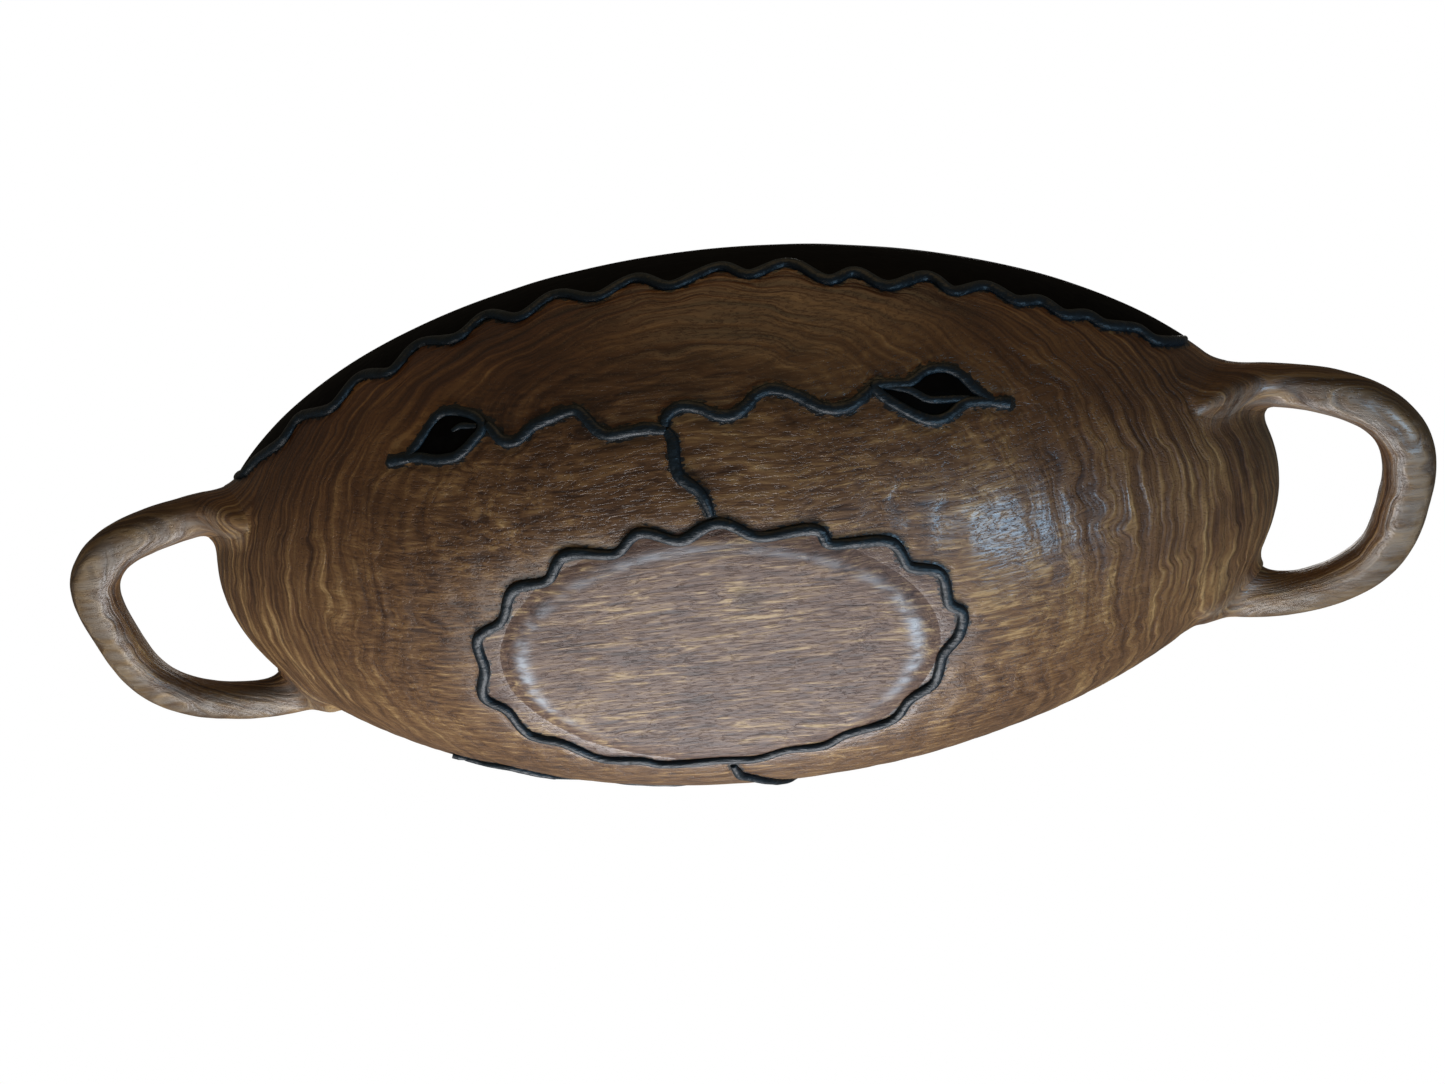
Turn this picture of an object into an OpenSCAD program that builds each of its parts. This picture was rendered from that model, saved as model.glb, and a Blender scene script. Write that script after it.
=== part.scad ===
// Long carved wooden bowl with a loop handle at each end, standing on a flat
// oval foot. Cords, vines and leaves are carved in relief on its outside.
// The origin is the middle of the foot's flat face. +X runs along the bowl
// towards the right handle, -Y is the front and +Z points up, towards the rim.

/* [Bowl] */
// Length of the bowl's body, without its handles
bowl_length = 430; // [400:5:440]
// Width of the bowl across its middle
bowl_width = 240; // [220:5:260]
// Height of the rim's outer edge at the middle of each long side
rim_height = 82; // [74:1:92]
// How far the rim drops towards the two ends, as a share of its height
rim_dip = 0.2; // [0.15:0.01:0.25]
// Thickness of the wall at the rim
wall = 9; // [8:0.5:11]
// Thickness of the floor above the foot
floor_thickness = 13; // [11:0.5:16]

/* [Foot] */
// Length of the oval foot
foot_length = 152; // [140:2:164]
// Width of the oval foot
foot_width = 102; // [96:2:108]
// Height of the foot
foot_rise = 2; // [2:0.1:2.5]

/* [Handles] */
// Distance from the bowl's middle to the middle of the left handle's bar
left_reach = 261; // [256:1:272]
// Distance from the bowl's middle to the middle of the right handle's bar
right_reach = 254; // [250:1:262]
// Width of the left handle's bar, seen from above
left_bar_width = 18; // [16:0.5:20]
// Width of the right handle's bar, seen from above
right_bar_width = 16; // [14:0.5:18]
// Height of each handle's bar
bar_height = 14.5; // [13:0.5:16]

/* [Carving] */
// Width of the carved cords
cord_width = 4; // [3:0.25:4.5]
// Height of the carved cords above the wood
cord_height = 1.9; // [1.3:0.1:2.1]

/* [Hidden] */

wood = [0.42, 0.25, 0.11];
pale_wood = [0.55, 0.40, 0.24];
black = [0.05, 0.06, 0.08];

bowl_a = bowl_length / 2;
bowl_b = bowl_width / 2;
foot_a = foot_length / 2;
foot_b = foot_width / 2;

// Curves of the flank: one for the length, one for the width
length_curve = [1.6, 1.7];
width_curve = [2, 1.5];
// Half length and half width of the flat in the floor of the hollow
floor_a = 60;
floor_b = 38;
// Height of the rounded lip above its two edges
lip_crown = 1.2;
// Radius of the foot's soft edge
foot_edge = 2.5;

// Points around the bowl, and rings up the outside and down the hollow
around = 80;
outer_rings = 18;
hollow_rings = 14;

// How far relief reaches into the wood that it is carved from
bed = 0.25;
// Thickness of the black bands and blades above the wood
skin_height = 0.6;
// Points around the half-round section of a cord
cord_sides = 6;
// Steps over which a direction on the flank is measured
turn_step = 0.1;
share_step = 0.002;

// The handles: height of the bar where it passes the bowl's end, its fall for
// each millimetre outwards, and the squareness of its section
handle_level = 60;
handle_fall = 0.22;
bar_square = 2.6;
// How square the front and the back corner of each loop are
left_squares = [3.4, 2.8];
right_squares = [2.7, 2.7];
// Where the front and the back arm of each handle lie, across the bowl
left_arms = [-47, 54];
right_arms = [-51, 47];
// A handle's root on the flank: its share of height, and its half size
root_share = 0.78;
root_turn_spread = 3.8;
root_share_spread = 0.15;
bar_sides = 12;
bar_rings = 28;

// The cord around the foot follows an oval of this half length and half width
foot_cord_a = 87;
foot_cord_b = 55;
// Its waves, as [turn from the middle of the front, distance outside the oval]
foot_cord_waves = [
    [-101, 5.5], [-87, -0.5], [-72, 2], [-62, -3], [-48, 1.5], [-40, -2.5], [-29, 2.5], [-20, -3],
    [-11, 2], [-3, -3], [6, 2], [16, -3], [27, 1.5], [34, -2.5], [44, 4], [55, -0.5], [62, 3.5],
    [75, -1], [81, 1.5], [91, -1], [101, -5.5], [115, -2], [124, -4], [136, 0.5], [148, -2.5],
    [157, 0], [166, -2.5], [176, 0.5], [186, -0.5], [199, 3.5], [205, 2.5], [214, 6], [227, 3],
    [236, 6.5], [250, 2]
];

// Routes on the front flank, as [turn from the middle of the front, share of
// the flank's height]
rim_cord_route = [
    [-61, 0.98], [-58, 0.87], [-55, 0.85], [-49, 0.78], [-45, 0.83], [-40, 0.73], [-35, 0.81],
    [-31, 0.73], [-27, 0.82], [-22.5, 0.75], [-19, 0.835], [-15.5, 0.745], [-11.5, 0.83],
    [-7.5, 0.745], [-3.5, 0.825], [0, 0.735], [4.5, 0.83], [7.5, 0.76], [11, 0.83], [15, 0.72],
    [17.5, 0.775], [21, 0.705], [24.5, 0.79], [27.5, 0.72], [30.5, 0.79], [34, 0.74], [36.5, 0.78],
    [39.5, 0.74], [42, 0.785], [44.5, 0.77], [48, 0.83], [51, 0.82], [54, 0.91], [55, 0.98]
];
stem_route = [
    [4.3, 0.022], [3, 0.05], [1.3, 0.07], [-0.5, 0.088], [-1, 0.11], [-1, 0.14], [-1, 0.17], [-1.6, 0.195]
];
left_branch_route = [
    [-1.6, 0.195], [-3.7, 0.206], [-6, 0.207], [-8.3, 0.206], [-9.7, 0.212], [-10.7, 0.233],
    [-11.4, 0.27], [-12.1, 0.293], [-13.4, 0.298], [-15.7, 0.292], [-18, 0.284], [-19.7, 0.268],
    [-21.4, 0.259], [-22.8, 0.272], [-23.1, 0.305], [-23.4, 0.335]
];
right_branch_route = [
    [-1.8, 0.205], [-1.4, 0.228], [-0.3, 0.247], [1, 0.252], [2.9, 0.242], [4.4, 0.226], [6, 0.218],
    [7.5, 0.223], [8.6, 0.241], [9.5, 0.267], [11, 0.285], [12.5, 0.284], [14.4, 0.27], [16.3, 0.253],
    [18.1, 0.239], [20, 0.238], [21.6, 0.25], [22.5, 0.275], [23.1, 0.302]
];
left_leaf_route = [
    [-23.9, 0.345], [-24.1, 0.37], [-24.9, 0.395], [-26, 0.418], [-27.3, 0.432], [-28.6, 0.428],
    [-30, 0.411], [-31.4, 0.39], [-32.9, 0.372], [-34.6, 0.356], [-35.3, 0.345], [-34, 0.327],
    [-32.9, 0.306], [-31.4, 0.29], [-29.7, 0.282], [-27.7, 0.291], [-26, 0.307], [-24.6, 0.322]
];
right_leaf_route = [
    [23.5, 0.312], [25.3, 0.322], [27, 0.33], [27.7, 0.348], [28.1, 0.368], [29.2, 0.388],
    [30.6, 0.395], [32.2, 0.387], [33.7, 0.37], [35.1, 0.353], [36.8, 0.339], [37.8, 0.331],
    [36.6, 0.322], [35.4, 0.312], [34.7, 0.293], [34.3, 0.267], [33.4, 0.248], [31.8, 0.243],
    [29.7, 0.25], [27.5, 0.263], [25.6, 0.278], [24.1, 0.294]
];
left_tip_route = [[-36, 0.349], [-37, 0.358], [-38.1, 0.366]];
right_tip_route = [[38.5, 0.331], [39.2, 0.336], [40.1, 0.341]];
left_rib_route = [[-24.7, 0.342], [-25.6, 0.351], [-26.6, 0.361], [-27.9, 0.358]];
right_rib_route = [
    [24.6, 0.311], [27.2, 0.312], [28.7, 0.305], [30, 0.296], [31.2, 0.296], [33.3, 0.309],
    [35.2, 0.324],
];
// Routes on the back, as they lie once they are turned round to it
back_stem_route = [
    [1.75, 0.022], [1.3, 0.045], [0.8, 0.075], [-1.2, 0.11], [-3.2, 0.17], [-4.2, 0.25], [-5, 0.34],
    [-5.6, 0.42], [-6, 0.47]
];
back_left_branch_route = [
    [-6, 0.47], [-3, 0.45], [0, 0.47], [4, 0.5], [8, 0.46], [12, 0.41], [15, 0.4], [18, 0.415],
    [21, 0.45], [25, 0.47], [28, 0.43], [30.3, 0.38], [31.1, 0.325]
];
back_right_branch_route = [
    [-6, 0.47], [-8, 0.5], [-10.5, 0.52], [-13, 0.51], [-15.5, 0.53], [-18, 0.58], [-20.5, 0.6],
    [-22, 0.59], [-23.4, 0.585]
];
// How far the back's leaves are moved from where the front's lie
back_left_leaf_shift = [8, 0.02];
back_right_leaf_shift = [0, 0.25];
route_steps = 3;

function shifted(route, by) = [for (at = route) at + by];

// A share of the way from the foot's edge to the rim's, for a share of height
function flare(share, curve) = pow(1 - pow(1 - share, curve[0]), 1 / curve[1]);

// The share of height at which a flank has flared by a given part
function unflare(part, curve) = 1 - pow(1 - pow(part, curve[1]), 1 / curve[0]);

// Half the length and half the width of the outside, at a share of its height
function half_length(share) = foot_a + (bowl_a - foot_a) * flare(share, length_curve);

function half_width(share) = foot_b + (bowl_b - foot_b) * flare(share, width_curve);

// Height of the rim or of a level below it, at a distance along the bowl
function level_at(share, x) = share * (1 - rim_dip * pow(x / bowl_a, 2));

// A point of the outside: turn 0 is the middle of the front, 90 the right end
function outside(turn, share) =
    let (
        x = half_length(share) * sin(turn),
        y = half_width(share) * -cos(turn)
    )
    [x, y, foot_rise + (rim_height - foot_rise) * level_at(share, x)];

// A point of the hollow, from its floor at share 0 to the rim at share 1
function hollow(turn, share) =
    let (
        x = (floor_a + (bowl_a - wall - floor_a) * flare(share, length_curve)) * sin(turn),
        y = (floor_b + (bowl_b - wall - floor_b) * flare(share, width_curve)) * -cos(turn),
        floor_z = foot_rise + floor_thickness,
        rim_z = foot_rise + (rim_height - foot_rise) * level_at(1, x)
    )
    [x, y, floor_z + (rim_z - floor_z) * share];

function unit(v) = v / norm(v);

// The direction straight out of the wood at a point of the outside
function outward(turn, share) =
    let (
        s = min(max(share, 2 * share_step), 1 - share_step),
        across = outside(turn + turn_step, s) - outside(turn - turn_step, s),
        up = outside(turn, s + share_step) - outside(turn, s - share_step)
    )
    unit(cross(across, up));

function lifted(turn, share, lift) = outside(turn, share) + lift * outward(turn, share);

function mean(points) = [for (p = points) 1] * points / len(points);

// A smooth curve through a route's points
function between(a, b, c, d, u) =
    0.5 * (2 * b + (c - a) * u + (2 * a - 5 * b + 4 * c - d) * u * u
        + (3 * b - a - 3 * c + d) * u * u * u);

function smooth(route) = [
    for (i = [0:len(route) - 2], k = [0:route_steps - 1])
        between(route[max(i - 1, 0)], route[i], route[i + 1],
            route[min(i + 2, len(route) - 1)], k / route_steps),
    route[len(route) - 1]
];

function smooth_loop(route) = [
    for (i = [0:len(route) - 1], k = [0:route_steps - 1])
        let (n = len(route))
        between(route[(i + n - 1) % n], route[i], route[(i + 1) % n], route[(i + 2) % n], k / route_steps)
];

// A closed skin over a row of rings that each have the same number of points
module skin(rings) {
    n = len(rings[0]);
    last = len(rings) - 1;
    points = concat([for (ring = rings) each ring], [mean(rings[0]), mean(rings[last])]);
    sides = [
        for (r = [0:last - 1], k = [0:n - 1])
            let (a = r * n + k, b = r * n + (k + 1) % n)
            each [[a, a + n, b], [b, a + n, b + n]]
    ];
    start_cap = [for (k = [0:n - 1]) [(last + 1) * n, k, (k + 1) % n]];
    end_cap = [for (k = [0:n - 1]) [(last + 1) * n + 1, last * n + (k + 1) % n, last * n + k]];
    polyhedron(points = points, faces = concat(sides, start_cap, end_cap), convexity = 8);
}

// The same skin, with its last ring joined to its first
module skin_loop(rings) {
    n = len(rings[0]);
    count = len(rings);
    polyhedron(
        points = [for (ring = rings) each ring],
        faces = [
            for (r = [0:count - 1], k = [0:n - 1])
                let (
                    next = (r + 1) % count,
                    a = r * n + k,
                    b = r * n + (k + 1) % n,
                    c = next * n + k,
                    d = next * n + (k + 1) % n
                )
                each [[a, c, b], [b, c, d]]
        ],
        convexity = 8
    );
}

// The half-round section of a cord at one point of its route
function cord_ring(at, before, after, size) =
    let (
        spot = outside(at[0], at[1]),
        out = outward(at[0], at[1]),
        along = unit(outside(after[0], after[1]) - outside(before[0], before[1])),
        side = unit(cross(out, along))
    )
    [
        for (k = [0:cord_sides])
            let (a = 180 * k / cord_sides)
            spot + size * cord_width / 2 * cos(a) * side
                + (size * cord_height * sin(a) - bed) * out
    ];

// How thick a cord is along its length: full, and thinner at both ends
function taper(i, last, start, end) = min(
    1,
    start + (1 - start) * i / 2,
    end + (1 - end) * (last - i) / 2
);

module cord(route, start = 0.7, end = 0.7) {
    last = len(route) - 1;
    skin([
        for (i = [0:last])
            cord_ring(route[i], route[max(i - 1, 0)], route[min(i + 1, last)], taper(i, last, start, end))
    ]);
}

module cord_loop(route) {
    n = len(route);
    skin_loop([
        for (i = [0:n - 1])
            cord_ring(route[i], route[(i + n - 1) % n], route[(i + 1) % n], 1)
    ]);
}

module bowl_shell() {
    turns = [for (k = [0:around - 1]) 360 * k / around];
    outer = [
        for (r = [0:outer_rings])
            let (share = pow(r / outer_rings, 1.7))
            [for (turn = turns) outside(turn, share)]
    ];
    lip = [for (turn = turns) (outside(turn, 1) + hollow(turn, 1)) / 2 + [0, 0, lip_crown]];
    inner = [
        for (r = [0:hollow_rings])
            let (share = pow(1 - r / hollow_rings, 1.7))
            [for (turn = turns) hollow(turn, share)]
    ];
    color(wood) skin(concat(outer, [lip], inner));
}

module foot_pad() {
    color(pale_wood)
    intersection() {
        scale([1, foot_b / foot_a, 1])
            rotate_extrude($fn = around)
                union() {
                    translate([0, foot_rise - foot_edge])
                        square([foot_a - foot_edge, 2 * foot_edge]);
                    translate([foot_a - foot_edge, foot_rise])
                        circle(r = foot_edge, $fn = 32);
                }
        translate([-foot_length, -foot_width, 0])
            cube([2 * foot_length, 2 * foot_width, foot_rise]);
    }
}

// A signed power, for squarish loops and sections
function rounded(value, square) = sign(value) * pow(abs(value), 2 / square);

// How far round the bowl an arm leaves its flank
function root_turn(arm) = acos(-arm / half_width(root_share));

function loop_point(a, reach, arms, squares) =
    let (
        square = a < 0 ? squares[0] : squares[1],
        root_x = half_length(root_share) * sin(root_turn(arms[1])),
        x = root_x + (reach - root_x) * rounded(cos(a), square),
        y = (arms[0] + arms[1]) / 2 + (arms[1] - arms[0]) / 2 * rounded(sin(a), square)
    )
    [x, y, handle_level - handle_fall * (x - bowl_a)];

function bar_ring(a, reach, arms, squares, width) =
    let (
        spot = loop_point(a, reach, arms, squares),
        along = unit(loop_point(a + 1, reach, arms, squares) - loop_point(a - 1, reach, arms, squares)),
        side = unit(cross(along, [0, 0, 1])),
        up = cross(side, along)
    )
    [
        for (k = [0:bar_sides - 1])
            let (b = 360 * k / bar_sides)
            spot + width / 2 * rounded(cos(b), bar_square) * side
                + bar_height / 2 * rounded(sin(b), bar_square) * up
    ];

// The outline of an arm's root on the flank, with its outer side at angle 0
function root_ring(arm, outer) = [
    for (k = [0:bar_sides - 1])
        let (b = 360 * k / bar_sides)
        lifted(
            root_turn(arm) + outer * root_turn_spread * cos(b),
            root_share + root_share_spread * sin(b),
            -bed
        )
];

module handle(reach, arms, squares, width) {
    color(pale_wood)
    skin(concat(
        [root_ring(arms[0], -1)],
        [for (k = [0:bar_rings]) bar_ring(-80 + 160 * k / bar_rings, reach, arms, squares, width)],
        [root_ring(arms[1], 1)]
    ));
}

module handle_right() {
    handle(right_reach, right_arms, right_squares, right_bar_width);
}

module handle_left() {
    mirror([1, 0, 0]) handle(left_reach, left_arms, left_squares, left_bar_width);
}

// A point of the foot's cord, as [turn, share of the flank's height]
function foot_cord_spot(wave) =
    let (
        part_x = max(0, foot_cord_a + wave[1] - foot_a) / (bowl_a - foot_a),
        part_y = max(0, foot_cord_b + wave[1] - foot_b) / (bowl_b - foot_b),
        share_x = unflare(part_x, length_curve),
        share_y = unflare(part_y, width_curve)
    )
    [wave[0], share_x * pow(sin(wave[0]), 2) + share_y * pow(cos(wave[0]), 2)];

module rim_band() {
    color(black)
    skin([
        for (at = smooth(rim_cord_route))
            let (step = (0.999 - at[1]) / 2)
            concat(
                [for (k = [0:2]) lifted(at[0], at[1] + step * k, -bed)],
                [for (k = [2:-1:0]) lifted(at[0], at[1] + step * k, skin_height)]
            )
    ]);
}

// A thin blade that fills a leaf's outline
module blade(outline) {
    middle = mean(outline);
    ring = smooth_loop(outline);
    half_way = [for (at = ring) (at + middle) / 2];
    color(black)
    skin([
        [for (at = half_way) lifted(at[0], at[1], -2 * bed)],
        [for (at = ring) lifted(at[0], at[1], -bed)],
        [for (at = ring) lifted(at[0], at[1], skin_height)],
        [for (at = half_way) lifted(at[0], at[1], skin_height)]
    ]);
}

// Turns a front carving round to the back
module to_back() {
    rotate([0, 0, 180]) children();
}

module rim_cord() {
    color(black) cord(smooth(rim_cord_route));
}

module foot_cord() {
    turn_back = [360, 0];
    first = foot_cord_waves[0] + turn_back;
    last = foot_cord_waves[len(foot_cord_waves) - 1] - turn_back;
    ends = [last, each foot_cord_waves, first, foot_cord_waves[1] + turn_back];
    color(black) cord_loop([
        for (i = [1:len(ends) - 3], k = [0:route_steps - 1])
            foot_cord_spot(between(ends[i - 1], ends[i], ends[i + 1], ends[i + 2], k / route_steps))
    ]);
}

module vine(route) {
    color(black) cord(smooth(route));
}

module leaf_rim(outline) {
    color(black) cord_loop(smooth_loop(outline));
}

module leaf_tip(route) {
    color(black) cord(smooth(route), 1, 1);
}

module leaf_rib(route) {
    color(black) cord(smooth(route), 0.9, 1);
}

module rim_band_front() { rim_band(); }
module rim_band_back() { to_back() rim_band(); }
module rim_cord_front() { rim_cord(); }
module rim_cord_back() { to_back() rim_cord(); }
module stem_front() { vine(stem_route); }
module stem_back() { to_back() vine(back_stem_route); }
module branch_front_left() { vine(left_branch_route); }
module branch_front_right() { vine(right_branch_route); }
module branch_back_left() { to_back() vine(back_left_branch_route); }
module branch_back_right() { to_back() vine(back_right_branch_route); }
module leaf_rim_front_left() { leaf_rim(left_leaf_route); }
module leaf_rim_front_right() { leaf_rim(right_leaf_route); }
module leaf_rim_back_left() { to_back() leaf_rim(shifted(right_leaf_route, back_left_leaf_shift)); }
module leaf_rim_back_right() { to_back() leaf_rim(shifted(left_leaf_route, back_right_leaf_shift)); }
module leaf_tip_front_left() { leaf_tip(left_tip_route); }
module leaf_tip_front_right() { leaf_tip(right_tip_route); }
module leaf_tip_back_left() { to_back() leaf_tip(shifted(right_tip_route, back_left_leaf_shift)); }
module leaf_tip_back_right() { to_back() leaf_tip(shifted(left_tip_route, back_right_leaf_shift)); }
module leaf_blade_front_left() { blade(left_leaf_route); }
module leaf_blade_front_right() { blade(right_leaf_route); }
module leaf_blade_back_left() { to_back() blade(shifted(right_leaf_route, back_left_leaf_shift)); }
module leaf_blade_back_right() { to_back() blade(shifted(left_leaf_route, back_right_leaf_shift)); }
module leaf_rib_front_left() { leaf_rib(left_rib_route); }
module leaf_rib_front_right() { leaf_rib(right_rib_route); }
module leaf_rib_back_left() { to_back() leaf_rib(shifted(right_rib_route, back_left_leaf_shift)); }
module leaf_rib_back_right() { to_back() leaf_rib(shifted(left_rib_route, back_right_leaf_shift)); }

bowl_shell();
foot_pad();
handle_left();
handle_right();
rim_band_front();
rim_band_back();
rim_cord_front();
rim_cord_back();
foot_cord();
stem_front();
stem_back();
branch_front_left();
branch_front_right();
branch_back_left();
branch_back_right();
leaf_rim_front_left();
leaf_rim_front_right();
leaf_rim_back_left();
leaf_rim_back_right();
leaf_tip_front_left();
leaf_tip_front_right();
leaf_tip_back_left();
leaf_tip_back_right();
leaf_blade_front_left();
leaf_blade_front_right();
leaf_blade_back_left();
leaf_blade_back_right();
leaf_rib_front_left();
leaf_rib_front_right();
leaf_rib_back_left();
leaf_rib_back_right();
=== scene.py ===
import math

import bpy
import numpy as np
from mathutils import Matrix, Vector
from mathutils.kdtree import KDTree


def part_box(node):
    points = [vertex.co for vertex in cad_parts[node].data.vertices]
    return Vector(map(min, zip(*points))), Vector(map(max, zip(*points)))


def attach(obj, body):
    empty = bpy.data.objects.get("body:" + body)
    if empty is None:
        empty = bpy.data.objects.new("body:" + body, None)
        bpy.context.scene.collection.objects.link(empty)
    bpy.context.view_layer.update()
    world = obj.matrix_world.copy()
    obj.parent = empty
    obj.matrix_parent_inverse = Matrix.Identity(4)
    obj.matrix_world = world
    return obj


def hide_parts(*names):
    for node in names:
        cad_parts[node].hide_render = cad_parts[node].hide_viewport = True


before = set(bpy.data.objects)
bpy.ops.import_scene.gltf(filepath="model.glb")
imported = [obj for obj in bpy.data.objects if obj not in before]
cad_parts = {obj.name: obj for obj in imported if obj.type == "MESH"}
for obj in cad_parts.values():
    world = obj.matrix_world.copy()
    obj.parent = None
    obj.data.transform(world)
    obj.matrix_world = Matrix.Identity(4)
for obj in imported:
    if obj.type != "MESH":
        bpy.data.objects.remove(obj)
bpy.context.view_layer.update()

# ---------------------------------------------------------------- dimensions
# Metres throughout. Turn is an angle round the bowl in degrees: 0 is the
# middle of the front (-Y), 90 the right end (+X). Share is a share of the
# flank's height, from the foot's edge at 0 to the rim at 1.
MM = 0.001
_, shell_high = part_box("bowl_shell")
_, foot_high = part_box("foot_pad")
BOWL_A, BOWL_B = shell_high.x, shell_high.y
FOOT_A, FOOT_B = foot_high.x, foot_high.y
FOOT_RISE = foot_high.z
LIP_CROWN = 1.2 * MM
RIM_Z = shell_high.z - LIP_CROWN
RIM_DIP = 0.2
WALL = 9 * MM
FLOOR_Z = FOOT_RISE + 13 * MM
FLOOR_A, FLOOR_B = 60 * MM, 38 * MM
LENGTH_CURVE = (1.6, 1.7)
WIDTH_CURVE = (2.0, 1.5)
CORD_WIDTH = 4 * MM
CORD_HEIGHT = 1.9 * MM
# A cord narrows over this length at its ends
CORD_TAPER = 5 * MM
# How deep the relief's pieces reach into the wood, and how thick the bands are
BED = 0.5 * MM
SKIN_HEIGHT = 0.6 * MM
# A band stops just short of the rim's edge
BAND_TOP = 0.9995
# Distances to a cord are known up to this one
GAP_LIMIT = 12 * MM
FOOT_CORD_A, FOOT_CORD_B = 87 * MM, 55 * MM
# The log's middle lay this high above the foot, and its layers go round it
LOG_Z = 190 * MM

# ---------------------------------------------------------- routes of relief
# The same points as in the CAD source: [turn, share], and for the cord round
# the foot [turn, millimetres outside its oval].
FOOT_CORD_WAVES = [
    (-101, 5.5), (-87, -0.5), (-72, 2), (-62, -3), (-48, 1.5), (-40, -2.5), (-29, 2.5), (-20, -3),
    (-11, 2), (-3, -3), (6, 2), (16, -3), (27, 1.5), (34, -2.5), (44, 4), (55, -0.5), (62, 3.5),
    (75, -1), (81, 1.5), (91, -1), (101, -5.5), (115, -2), (124, -4), (136, 0.5), (148, -2.5),
    (157, 0), (166, -2.5), (176, 0.5), (186, -0.5), (199, 3.5), (205, 2.5), (214, 6), (227, 3),
    (236, 6.5), (250, 2),
]
RIM_CORD = [
    (-61, 0.98), (-58, 0.87), (-55, 0.85), (-49, 0.78), (-45, 0.83), (-40, 0.73), (-35, 0.81),
    (-31, 0.73), (-27, 0.82), (-22.5, 0.75), (-19, 0.835), (-15.5, 0.745), (-11.5, 0.83),
    (-7.5, 0.745), (-3.5, 0.825), (0, 0.735), (4.5, 0.83), (7.5, 0.76), (11, 0.83), (15, 0.72),
    (17.5, 0.775), (21, 0.705), (24.5, 0.79), (27.5, 0.72), (30.5, 0.79), (34, 0.74), (36.5, 0.78),
    (39.5, 0.74), (42, 0.785), (44.5, 0.77), (48, 0.83), (51, 0.82), (54, 0.91), (55, 0.98),
]
STEM = [
    (4.3, 0.022), (3, 0.05), (1.3, 0.07), (-0.5, 0.088), (-1, 0.11), (-1, 0.14), (-1, 0.17), (-1.6, 0.195),
]
LEFT_BRANCH = [
    (-1.6, 0.195), (-3.7, 0.206), (-6, 0.207), (-8.3, 0.206), (-9.7, 0.212), (-10.7, 0.233),
    (-11.4, 0.27), (-12.1, 0.293), (-13.4, 0.298), (-15.7, 0.292), (-18, 0.284), (-19.7, 0.268),
    (-21.4, 0.259), (-22.8, 0.272), (-23.1, 0.305), (-23.4, 0.335),
]
RIGHT_BRANCH = [
    (-1.8, 0.205), (-1.4, 0.228), (-0.3, 0.247), (1, 0.252), (2.9, 0.242), (4.4, 0.226), (6, 0.218),
    (7.5, 0.223), (8.6, 0.241), (9.5, 0.267), (11, 0.285), (12.5, 0.284), (14.4, 0.27), (16.3, 0.253),
    (18.1, 0.239), (20, 0.238), (21.6, 0.25), (22.5, 0.275), (23.1, 0.302),
]
BACK_STEM = [
    (1.75, 0.022), (1.3, 0.045), (0.8, 0.075), (-1.2, 0.11), (-3.2, 0.17), (-4.2, 0.25), (-5, 0.34),
    (-5.6, 0.42), (-6, 0.47),
]
BACK_LEFT_BRANCH = [
    (-6, 0.47), (-3, 0.45), (0, 0.47), (4, 0.5), (8, 0.46), (12, 0.41), (15, 0.4), (18, 0.415),
    (21, 0.45), (25, 0.47), (28, 0.43), (30.3, 0.38), (31.1, 0.325),
]
BACK_RIGHT_BRANCH = [
    (-6, 0.47), (-8, 0.5), (-10.5, 0.52), (-13, 0.51), (-15.5, 0.53), (-18, 0.58), (-20.5, 0.6),
    (-22, 0.59), (-23.4, 0.585),
]
LEFT_LEAF = [
    (-23.9, 0.345), (-24.1, 0.37), (-24.9, 0.395), (-26, 0.418), (-27.3, 0.432), (-28.6, 0.428),
    (-30, 0.411), (-31.4, 0.39), (-32.9, 0.372), (-34.6, 0.356), (-35.3, 0.345), (-34, 0.327),
    (-32.9, 0.306), (-31.4, 0.29), (-29.7, 0.282), (-27.7, 0.291), (-26, 0.307), (-24.6, 0.322),
]
RIGHT_LEAF = [
    (23.5, 0.312), (25.3, 0.322), (27, 0.33), (27.7, 0.348), (28.1, 0.368), (29.2, 0.388),
    (30.6, 0.395), (32.2, 0.387), (33.7, 0.37), (35.1, 0.353), (36.8, 0.339), (37.8, 0.331),
    (36.6, 0.322), (35.4, 0.312), (34.7, 0.293), (34.3, 0.267), (33.4, 0.248), (31.8, 0.243),
    (29.7, 0.25), (27.5, 0.263), (25.6, 0.278), (24.1, 0.294),
]
LEFT_TIP = [(-36, 0.349), (-37, 0.358), (-38.1, 0.366)]
RIGHT_TIP = [(38.5, 0.331), (39.2, 0.336), (40.1, 0.341)]
LEFT_RIB = [(-24.7, 0.342), (-25.6, 0.351), (-26.6, 0.361), (-27.9, 0.358)]
RIGHT_RIB = [(24.6, 0.311), (27.2, 0.312), (28.7, 0.305), (30, 0.296), (31.2, 0.296), (33.3, 0.309),
             (35.2, 0.324)]
# How far the back's leaves are moved from where the front's lie
BACK_LEFT_SHIFT = (8, 0.02)
BACK_RIGHT_SHIFT = (0, 0.25)


def moved(route, by):
    return np.array(route, float) + by


def all_moved(routes, by):
    return [moved(route, by) for route in routes]


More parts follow.
